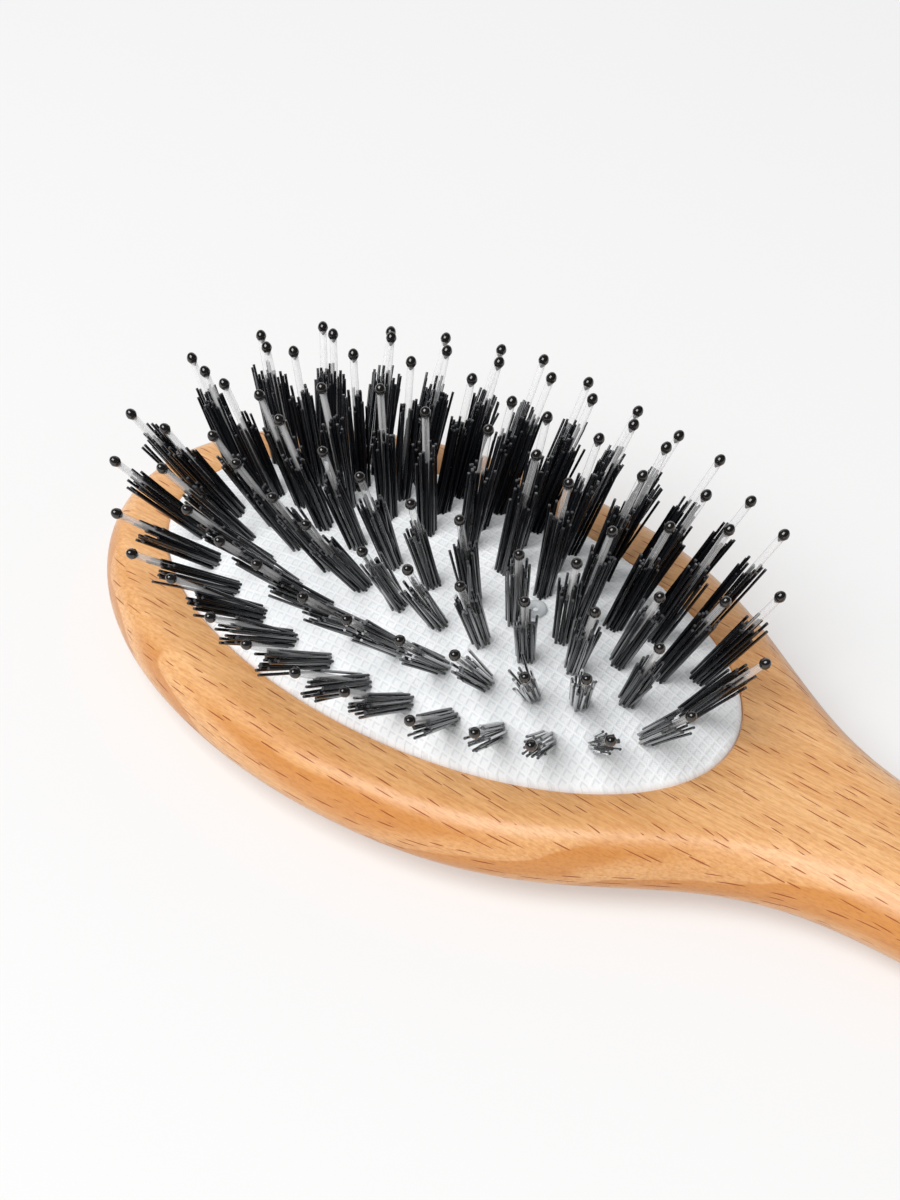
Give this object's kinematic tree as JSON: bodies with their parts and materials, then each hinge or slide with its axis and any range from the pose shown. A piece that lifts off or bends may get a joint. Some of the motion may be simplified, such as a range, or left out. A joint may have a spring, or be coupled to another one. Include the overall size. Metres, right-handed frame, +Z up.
{
  "type": "cushion hairbrush",
  "caption": "Oval cushion hairbrush: a wooden head and handle, a crowned air cushion that gives when pressed, and tufts of bristles with ball-tipped pins.",
  "frame": {"origin": "resting point on the flat back, under the middle of the pad", "axes": "+Z up through the bristles, +X along the handle, Y across the head"},
  "size_m": [0.2303, 0.0738, 0.0444],
  "materials": {
    "beech": "satin lacquer",
    "pad_canvas": "woven canvas on rubber",
    "bristles": "glossy nylon",
    "clear_pins": "clear nylon",
    "ball_tips": "glossy",
    "vent": "matte"
  },
  "bodies": {
    "brush_body": {"wood_body": "beech", "pad_rim": "pad_canvas"},
    "bristle_field": {"core_tufts": "bristles", "ring_1_tufts_1": "bristles", "ring_1_tufts_2": "bristles", "ring_1_tufts_3": "bristles", "ring_1_tufts_4": "bristles", "ring_1_tufts_5": "bristles", "ring_1_tufts_6": "bristles", "ring_2_tufts_1": "bristles", "ring_2_tufts_2": "bristles", "ring_2_tufts_3": "bristles", "ring_2_tufts_4": "bristles", "ring_2_tufts_5": "bristles", "ring_3_tufts_1": "bristles", "ring_3_tufts_2": "bristles", "ring_3_tufts_3": "bristles", "ring_3_tufts_4": "bristles", "ring_3_tufts_5": "bristles", "air_vent": "vent"}
  },
  "joints": [
    {"name": "cushion_press", "type": "slide", "parent": "brush_body", "child": "bristle_field", "axis": [0, 0, -1], "range_m": [0, 0.003], "stiffness_N_per_m": 2500, "deforming": ["pad_rim"]}
  ]
}
